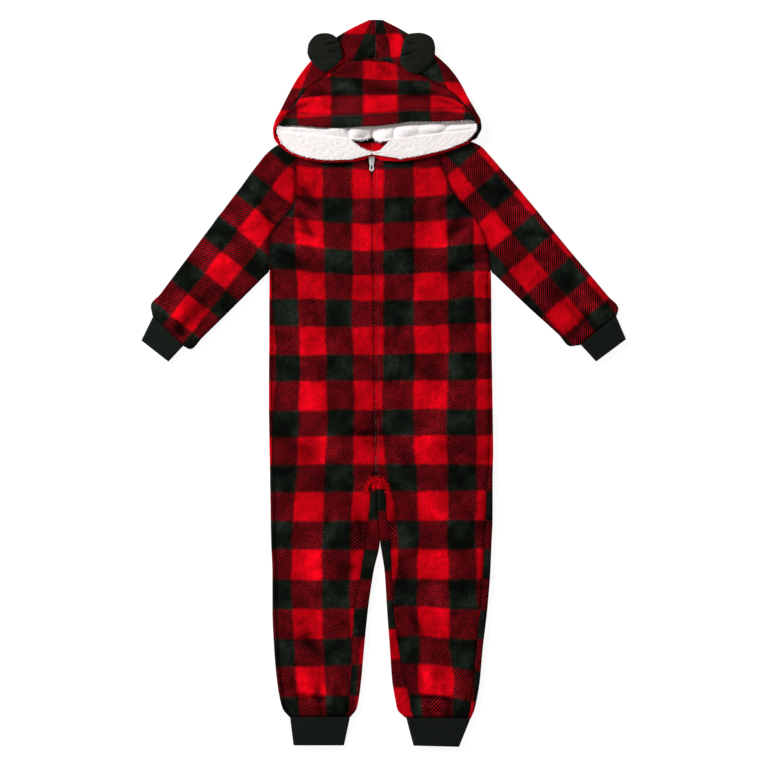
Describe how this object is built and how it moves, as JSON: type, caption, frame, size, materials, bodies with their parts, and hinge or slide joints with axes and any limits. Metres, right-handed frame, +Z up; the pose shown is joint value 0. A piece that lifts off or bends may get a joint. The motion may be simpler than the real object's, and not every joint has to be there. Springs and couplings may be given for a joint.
{
  "type": "onesie pajama",
  "caption": "Child's hooded one-piece pyjama in plush buffalo check, laid flat, with ears, a sherpa hood lining, rib cuffs and a front zip.",
  "frame": {"origin": "under the middle of the garment's bounding box, on the surface it lies on", "axes": "+X across the chest to the right as seen from above, +Y from the feet to the top of the hood, +Z up out of the front of the garment"},
  "size_m": [0.825, 1.2364, 0.0204],
  "materials": {
    "plush_check": "short plush pile, red and black buffalo check",
    "sherpa_lining": "curly white sherpa pile",
    "rib_knit": "matt black rib knit",
    "ear_plush": "matt black fleece",
    "zip_tape": "woven tape with a nylon coil",
    "zip_metal": "polished die-cast metal"
  },
  "bodies": {
    "garment": {"front_left": "plush_check", "front_right": "plush_check", "back_left": "plush_check", "back_right": "plush_check", "sleeve_left": "plush_check", "sleeve_right": "plush_check", "hood_back_left": "plush_check", "hood_back_right": "plush_check", "hood_front": "plush_check", "lining_left": "sherpa_lining", "lining_right": "sherpa_lining", "lining_front": "sherpa_lining", "cuff_wrist_left": "rib_knit", "cuff_wrist_right": "rib_knit", "cuff_ankle_left": "rib_knit", "cuff_ankle_right": "rib_knit", "ear_left": "ear_plush", "ear_right": "ear_plush", "zip_tape_left": "zip_tape", "zip_tape_right": "zip_tape", "zip_slider": "zip_metal"},
    "pull": {"zip_pull": "zip_metal"}
  },
  "joints": [
    {"name": "pull_swing", "type": "hinge", "parent": "garment", "child": "pull", "pos_m": [-0.02041, 0.37956, 0.0099], "axis": [-1, 0, 0], "range_deg": [0, 120]}
  ]
}
